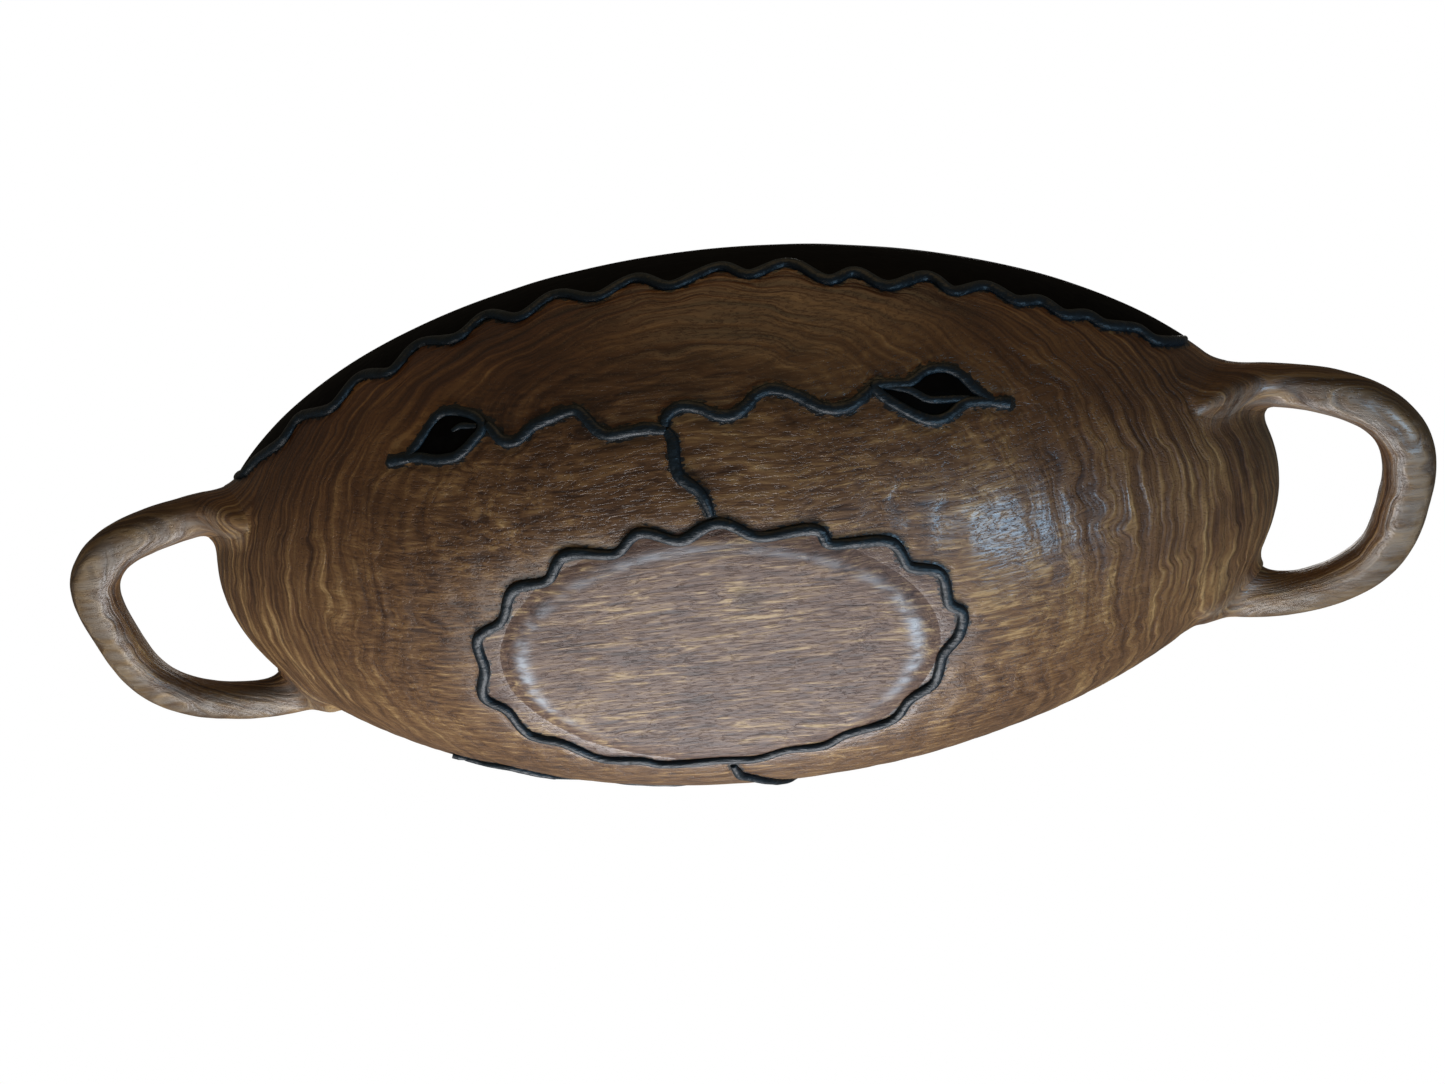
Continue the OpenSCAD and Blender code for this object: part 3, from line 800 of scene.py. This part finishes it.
def relief_routes():
    """Every cord's route, front and back, as fine points."""
    routes = [foot_cord_route()]
    for face, turn_by in HALF_TURN.items():
        routes.append(curve_points(moved(RIM_CORD, turn_by), 10))
        routes.append(curve_points(moved(STEMS[face], turn_by), 10))
    for corner, (branch, leaf, tip, _) in LEAVES.items():
        turn_by = HALF_TURN[corner.split("_")[0]]
        routes.append(curve_points(moved(branch, turn_by), 10))
        routes.append(curve_points(moved(leaf, turn_by), 8, True))
        routes.append(curve_points(moved(tip, turn_by), 8))
    return routes


BAND_ROWS = 16


def add_band(name, route, node):
    fine = curve_points(route, 10)

    def row(part):
        return np.stack([fine[:, 0], fine[:, 1] + (BAND_TOP - fine[:, 1]) * part], -1)

    skin = []
    for i in range(BAND_ROWS):
        spots = row(i / (BAND_ROWS - 1))
        lift = SKIN_HEIGHT * (0.8 + 0.2 * noise(to_surface(spots), 16 * MM, 51))
        skin.append(to_surface(spots, lift))
    under = [to_surface(row(part), np.full(len(fine), -BED)) for part in (1.0, 0.5, 0.0)]
    points, faces = capped(list(np.stack([*skin, *under], 1)))
    add_piece(name, points, turned_over(faces), black_band, [node])


def add_blade(name, outline, node):
    ring = curve_points(outline, 6, True)
    turns, shares = ring.T
    if (turns * np.roll(shares, -1) - np.roll(turns, -1) * shares).sum() < 0:
        ring = ring[::-1]
    middle = ring.mean(0)
    rings = []
    for part, lift in ((1.0, -BED), (1.0, 0.15 * MM)):
        rings.append(to_surface(middle + (ring - middle) * part, np.full(len(ring), lift)))
    for part in np.linspace(0.93, 0.05, 12):
        spots = middle + (ring - middle) * part
        lift = 0.3 * MM + 0.55 * MM * (1 - part) + 0.10 * MM * noise(to_surface(spots), 4 * MM, 61)
        rings.append(to_surface(spots, lift))
    points, faces = capped(rings)
    add_piece(name, points, faces, black_band, [node])


# --------------------------------------------------------------- materials
class Recipe:
    """A material's nodes, added one at a time."""

    def __init__(self, name):
        self.material = bpy.data.materials.new(name)
        self.material.use_nodes = True
        self.tree = self.material.node_tree
        self.tree.nodes.clear()
        self.shader = self.add("ShaderNodeBsdfPrincipled")
        output = self.add("ShaderNodeOutputMaterial")
        self.tree.links.new(self.shader.outputs[0], output.inputs[0])

    def add(self, kind, **settings):
        node = self.tree.nodes.new(kind)
        for key, value in settings.items():
            setattr(node, key, value)
        return node

    def put(self, socket, value):
        if isinstance(value, bpy.types.NodeSocket):
            self.tree.links.new(value, socket)
        else:
            socket.default_value = value

    def field(self, name, output):
        return self.add("ShaderNodeAttribute", attribute_name=name).outputs[output]

    def noise(self, vector, scale, detail=2.0, rough=0.5, warp=0.0):
        mapping = self.add("ShaderNodeMapping")
        self.put(mapping.inputs["Vector"], vector)
        mapping.inputs["Scale"].default_value = scale
        node = self.add("ShaderNodeTexNoise")
        self.put(node.inputs["Vector"], mapping.outputs[0])
        node.inputs["Scale"].default_value = 1
        node.inputs["Detail"].default_value = detail
        node.inputs["Roughness"].default_value = rough
        node.inputs["Distortion"].default_value = warp
        return node.outputs["Fac"]

    def math(self, operation, a, b=0.0, clamp=False):
        node = self.add("ShaderNodeMath", operation=operation, use_clamp=clamp)
        self.put(node.inputs[0], a)
        self.put(node.inputs[1], b)
        return node.outputs[0]

    def sway(self, value, weight):
        return self.math("MULTIPLY", self.math("SUBTRACT", value, 0.5), weight)

    def span(self, value, low, high, to_low=0.0, to_high=1.0):
        node = self.add("ShaderNodeMapRange", interpolation_type="SMOOTHSTEP")
        for key, item in (("Value", value), ("From Min", low), ("From Max", high),
                          ("To Min", to_low), ("To Max", to_high)):
            self.put(node.inputs[key], item)
        return node.outputs[0]

    def mix(self, factor, a, b, blend="MIX"):
        node = self.add("ShaderNodeMix", data_type="RGBA", blend_type=blend)
        self.put(node.inputs[0], factor)
        self.put(node.inputs[6], a)
        self.put(node.inputs[7], b)
        return node.outputs[2]

    def ramp(self, value, stops):
        node = self.add("ShaderNodeValToRGB")
        self.put(node.inputs[0], value)
        ramp = node.color_ramp
        while len(ramp.elements) < len(stops):
            ramp.elements.new(0.5)
        for element, (place, colour) in zip(ramp.elements, stops):
            element.position = place
            element.color = (*colour, 1)
        return node.outputs[0]

    def bump(self, height, distance):
        node = self.add("ShaderNodeBump")
        self.put(node.inputs["Height"], height)
        node.inputs["Distance"].default_value = distance
        node.inputs["Strength"].default_value = 1.0
        return node.outputs[0]


SOOT = (0.006, 0.007, 0.008, 1)
# The tint of the painted shade on the front's flank
PAINTED_SHADE_TINT = (0.82, 0.67, 0.55, 1)


def make_wood(name, tones, shifted_tones, fibres, gloss, roughness, pale_tone, marks=()):
    """Oiled wood. Both rows of tones run from dark to golden, and the field
    "shift" goes from the first to the second. Fibres and gloss are strengths,
    and each dark mark is a place, a size and a strength."""
    r = Recipe(name)
    grain = r.field("grain", "Vector")
    place = r.add("ShaderNodeTexCoord").outputs["Object"]
    steep = r.field("steep", "Fac")
    bands = r.noise(grain, (7, 300, 9), 2, 0.55)
    rings = r.noise(grain, (18, 1080, 27), 1.8, 0.5)
    fibre = r.noise(grain, (44, 540, 370), 3, 0.6, 1.0)
    flecks = r.noise(grain, (48, 300, 560), 2, 0.5, 1.2)
    pores = r.noise(grain, (210, 2300, 1500), 2, 0.6)
    blotch = r.noise(place, (14, 20, 20), 2, 0.5)

    line_strength = r.math("ADD", r.math("MULTIPLY", steep, 0.8), 0.2)
    tone = r.math("MULTIPLY", r.sway(bands, 0.14), line_strength)
    tone = r.math("ADD", tone, r.math("MULTIPLY", r.sway(rings, 0.56), line_strength))
    flat = r.math("SUBTRACT", 1.0, r.math("MULTIPLY", steep, 0.85))
    tone = r.math("ADD", tone, r.math("MULTIPLY", r.sway(fibre, 0.42 * fibres), flat))
    tone = r.math("ADD", tone, r.math("MULTIPLY", r.sway(flecks, 0.56 * fibres), flat))
    tone = r.math("ADD", tone, r.sway(blotch, 0.26))
    tone = r.math("ADD", r.math("MULTIPLY", tone, 3.4), 0.5, clamp=True)
    stops = (0.0, 0.3, 0.58, 0.82, 1.0)
    colour = r.mix(
        r.field("shift", "Fac"),
        r.ramp(tone, list(zip(stops, tones))), r.ramp(tone, list(zip(stops, shifted_tones))),
    )

    # Painted shade: the front's flank is darkened towards the rim
    colour = r.mix(r.field("painted_shade", "Fac"), colour, PAINTED_SHADE_TINT, "MULTIPLY")

    contour = r.math("ABSOLUTE", r.math("SUBTRACT", r.noise(grain, (16, 480, 24), 1, 0.5), 0.5))
    contour = r.span(contour, 0.0, 0.045, 1.0, 0.0)
    broken = r.span(r.noise(grain, (40, 120, 90), 2, 0.5), 0.40, 0.62)
    contour = r.math("MULTIPLY", r.math("MULTIPLY", contour, broken), line_strength)
    colour = r.mix(r.math("MULTIPLY", contour, 0.5), colour, (*tones[0], 1))
    specks = r.span(pores, 0.36, 0.47, 1.0, 0.0)
    colour = r.mix(r.math("MULTIPLY", specks, 0.30), colour, (*tones[0], 1))

    # The field "pale" mixes in the pale tone: worn edges with a painted sheen on them
    pale = r.field("pale", "Fac")
    pale = r.math("MULTIPLY", pale, r.span(r.noise(grain, (40, 380, 260), 3, 0.6), 0.34, 0.66, 0.15, 1.0))
    colour = r.mix(r.math("MULTIPLY", pale, 0.55), colour, (*pale_tone, 1))

    for spot, size, strength in marks:
        away = r.add("ShaderNodeVectorMath", operation="DISTANCE")
        r.put(away.inputs[0], place)
        away.inputs[1].default_value = spot
        edge = r.math("ADD", away.outputs["Value"], r.sway(fibre, size))
        colour = r.mix(r.span(edge, size * 0.4, size, strength, 0.0), colour, (*tones[0], 1))

    gap = r.field("gap", "Fac")
    feather = r.span(r.noise(grain, (240, 900, 700), 2, 0.5), 0.32, 0.72)
    reach = r.math("ADD", 0.0015, r.math("MULTIPLY", feather, 0.0016))
    stain = r.span(r.math("SUBTRACT", gap, reach), 0.0, 0.0005, 1.0, 0.0)
    colour = r.mix(stain, colour, SOOT)

    r.put(r.shader.inputs["Base Color"], colour)
    rough = r.math("ADD", r.math("MULTIPLY", fibre, 0.22), r.math("MULTIPLY", specks, 0.12))
    r.put(r.shader.inputs["Roughness"], r.math("ADD", rough, roughness - 0.11))
    height = r.math("ADD", r.math("MULTIPLY", fibre, 0.27), r.math("MULTIPLY", flecks, 0.12))
    height = r.math("MULTIPLY", height, flat)
    height = r.math("ADD", height, r.math("MULTIPLY", rings, r.math("MULTIPLY", line_strength, 0.9)))
    height = r.math("SUBTRACT", height, r.math("MULTIPLY", specks, 0.10))
    uneven = r.bump(height, 0.0007)
    r.put(r.shader.inputs["Normal"], uneven)
    r.put(r.shader.inputs["Coat Normal"], uneven)
    r.shader.inputs["Specular IOR Level"].default_value = 0.24
    r.shader.inputs["Coat Weight"].default_value = gloss
    r.shader.inputs["Coat Roughness"].default_value = 0.25
    return r.material


def make_black(name, tone, roughness, specular, grain_strength):
    """Wood blackened by fire and rubbed with wax."""
    r = Recipe(name)
    grain = r.field("grain", "Vector")
    place = r.add("ShaderNodeTexCoord").outputs["Object"]
    strokes = r.noise(grain, (90, 700, 500), 3, 0.6)
    paleness = r.noise(place, (260, 260, 260), 3, 0.6)
    base = r.mix(r.span(paleness, 0.3, 0.75), (*tone, 1), (*[c * 1.7 + 0.001 for c in tone], 1))
    r.put(r.shader.inputs["Base Color"], base)
    r.put(r.shader.inputs["Roughness"], r.math("ADD", r.math("MULTIPLY", strokes, 0.25), roughness - 0.12))
    height = r.math("ADD", r.math("MULTIPLY", strokes, 0.6), r.math("MULTIPLY", paleness, 0.6))
    r.put(r.shader.inputs["Normal"], r.bump(height, 0.0004 * grain_strength))
    r.shader.inputs["Specular IOR Level"].default_value = specular
    return r.material


BROWN = ((0.026, 0.009, 0.003), (0.068, 0.029, 0.010), (0.122, 0.058, 0.021), (0.192, 0.105, 0.039),
         (0.300, 0.184, 0.076))
ROSY = ((0.030, 0.013, 0.008), (0.068, 0.033, 0.021), (0.110, 0.060, 0.037), (0.185, 0.113, 0.061),
        (0.320, 0.215, 0.105))
OLIVE = ((0.024, 0.011, 0.004), (0.060, 0.031, 0.012), (0.106, 0.061, 0.025), (0.158, 0.099, 0.045),
         (0.235, 0.160, 0.084))
# Tones of the pale marks: on the handles partly wear and partly a painted sheen, on the foot's edge partly
# rubbed wear and partly a bluish painted highlight
PALE = (0.22, 0.195, 0.165)
RUBBED_AND_SHEEN = (0.42, 0.44, 0.47)
# A small knot on the left of the flank and a grey mark on the foot
KNOTS = [((-0.0713, -0.0629, 0.0111), 0.0028, 0.8)]
SMUDGES = [((0.015, -0.026, 0.0), 0.008, 0.55)]
body_wood = make_wood("body_wood", BROWN, ROSY, 0.9, 0.55, 0.48, PALE, KNOTS)
foot_wood = make_wood("foot_wood", BROWN, ROSY, 1.05, 0.08, 0.48, RUBBED_AND_SHEEN, SMUDGES)
handle_wood = make_wood("handle_wood", BROWN, OLIVE, 0.9, 0.24, 0.41, PALE)
black_band = make_black("black_band", (0.0005, 0.0005, 0.0005), 0.55, 0.05, 0.6)
blackened = make_black("blackened_relief", (0.0018, 0.0065, 0.0105), 0.42, 0.32, 2.0)

# ------------------------------------------------------------------ pieces
add_body()
add_foot()
for side in HANDLES:
    add_handle(f"bar_{side}", HANDLES[side], f"handle_{side}")
add_cord("foot_ring", foot_cord_route(), "foot_cord", closed=True, steps=0)
for face, turn_by in HALF_TURN.items():
    wave = moved(RIM_CORD, turn_by)
    add_band(f"band_{face}", wave, f"rim_band_{face}")
    add_cord(f"rim_wave_{face}", wave, f"rim_cord_{face}", start=0.8, end=0.6)
    add_cord(f"vine_stem_{face}", moved(STEMS[face], turn_by), f"stem_{face}")
for corner, (branch, leaf, tip, rib) in LEAVES.items():
    turn_by = HALF_TURN[corner.split("_")[0]]
    add_cord(f"vine_branch_{corner}", moved(branch, turn_by), f"branch_{corner}")
    add_cord(f"leaf_edge_{corner}", moved(leaf, turn_by), f"leaf_rim_{corner}", closed=True, size=0.86)
    # The point starts deeper in the leaf's outline than its route does
    inner_end = np.array(tip[0]) + 1.6 * (np.array(tip[0]) - np.array(tip[1]))
    point = moved([inner_end, *tip], turn_by)
    add_cord(f"leaf_point_{corner}", point, f"leaf_tip_{corner}", start=0.5, end=1.2)
    add_cord(f"leaf_vein_{corner}", moved(rib, turn_by), f"leaf_rib_{corner}", size=0.66)
    add_blade(f"leaf_face_{corner}", moved(leaf, turn_by), f"leaf_blade_{corner}")

# ----------------------------------------------------- camera, light, floor
CAMERA_TURN = math.radians(11.83)
CAMERA_RISE = math.radians(-53.91)
CAMERA_ROLL = math.radians(-3.76)
CAMERA_SHIFT = np.array([-2.05, 41.94, 389.41]) * MM
# Millimetres on the camera's own scale, as Blender takes them
SENSOR_WIDTH = 36
LENS_LENGTH = 27.03
back = np.array([
    math.sin(CAMERA_TURN) * math.cos(CAMERA_RISE),
    -math.cos(CAMERA_TURN) * math.cos(CAMERA_RISE),
    math.sin(CAMERA_RISE),
])
level = unit(np.cross(-back, [0, 0, 1.0]))
down = np.cross(-back, level)
across = math.cos(CAMERA_ROLL) * level + math.sin(CAMERA_ROLL) * down
down = -math.sin(CAMERA_ROLL) * level + math.cos(CAMERA_ROLL) * down
turned_axes = np.array([across, -down, back])
camera_spot = -np.array([across, down, -back]).T @ CAMERA_SHIFT
camera_data = bpy.data.cameras.new("camera")
camera = bpy.data.objects.new("camera", camera_data)
bpy.context.scene.collection.objects.link(camera)
camera.matrix_world = Matrix.Translation(Vector(camera_spot)) @ Matrix(turned_axes.T.tolist()).to_4x4()
camera_data.sensor_width = SENSOR_WIDTH
camera_data.lens = LENS_LENGTH
camera_data.clip_start = 0.01
bpy.context.scene.camera = camera


def softbox(name, direction, distance, size, power, colour=(1, 1, 1)):
    data = bpy.data.lights.new(name, "AREA")
    data.shape = "DISK"
    data.size = size
    data.energy = power
    data.color = colour
    light = bpy.data.objects.new(name, data)
    bpy.context.scene.collection.objects.link(light)
    toward = Vector(direction).normalized()
    middle = Vector((0, 0, 0.04))
    light.location = middle + toward * distance
    light.rotation_euler = toward.to_track_quat("Z", "Y").to_euler()
    light.visible_camera = False


softbox("key_below", (-0.10, 0.75, -0.66), 1.0, 0.75, 14.5, (0.97, 0.97, 1.0))
softbox("side_below", (0.56, 0.14, -0.82), 1.1, 0.24, 4.9, (0.42, 0.71, 1.0))
softbox("left_below", (-0.42, 0.35, -0.84), 1.3, 0.6, 3.4, (1.0, 0.98, 0.94))
softbox("front", (0.10, -0.98, 0.15), 1.6, 1.2, 3.6, (1.0, 0.68, 0.32))
softbox("overhead", (0.15, 0.20, 1.0), 1.4, 0.9, 8, (1.0, 0.98, 0.95))

world = bpy.data.worlds.new("studio")
bpy.context.scene.world = world
world.use_nodes = True
tree = world.node_tree
tree.nodes.clear()
seen = tree.nodes.new("ShaderNodeBackground")
seen.inputs["Color"].default_value = (1, 1, 1, 1)
seen.inputs["Strength"].default_value = 1.0
cast = tree.nodes.new("ShaderNodeBackground")
cast.inputs["Color"].default_value = (1, 0.87, 0.70, 1)
cast.inputs["Strength"].default_value = 0.12
choose = tree.nodes.new("ShaderNodeMixShader")
rays = tree.nodes.new("ShaderNodeLightPath")
output = tree.nodes.new("ShaderNodeOutputWorld")
tree.links.new(rays.outputs["Is Camera Ray"], choose.inputs[0])
tree.links.new(cast.outputs[0], choose.inputs[1])
tree.links.new(seen.outputs[0], choose.inputs[2])
tree.links.new(choose.outputs[0], output.inputs[0])


def add_floor():
    """A pale floor that is seen from above and hides nothing from below."""
    half = 2.0
    corners = [(-half, -half, 0), (half, -half, 0), (half, half, 0), (-half, half, 0)]
    mesh = bpy.data.meshes.new("floor")
    mesh.from_pydata(corners, [], [(0, 1, 2, 3)])
    floor = bpy.data.objects.new("floor", mesh)
    bpy.context.scene.collection.objects.link(floor)
    material = bpy.data.materials.new("pale_floor")
    material.use_nodes = True
    nodes, links = material.node_tree.nodes, material.node_tree.links
    nodes.clear()
    pale = nodes.new("ShaderNodeBsdfDiffuse")
    pale.inputs["Color"].default_value = (0.88, 0.88, 0.88, 1)
    clear = nodes.new("ShaderNodeBsdfTransparent")
    geometry = nodes.new("ShaderNodeNewGeometry")
    mixer = nodes.new("ShaderNodeMixShader")
    out = nodes.new("ShaderNodeOutputMaterial")
    links.new(geometry.outputs["Backfacing"], mixer.inputs[0])
    links.new(pale.outputs[0], mixer.inputs[1])
    links.new(clear.outputs[0], mixer.inputs[2])
    links.new(mixer.outputs[0], out.inputs[0])
    mesh.materials.append(material)
    floor.visible_diffuse = False
    floor.visible_glossy = False
    floor.visible_transmission = False
    floor.visible_shadow = False


add_floor()
bpy.context.scene.view_settings.view_transform = "Standard"
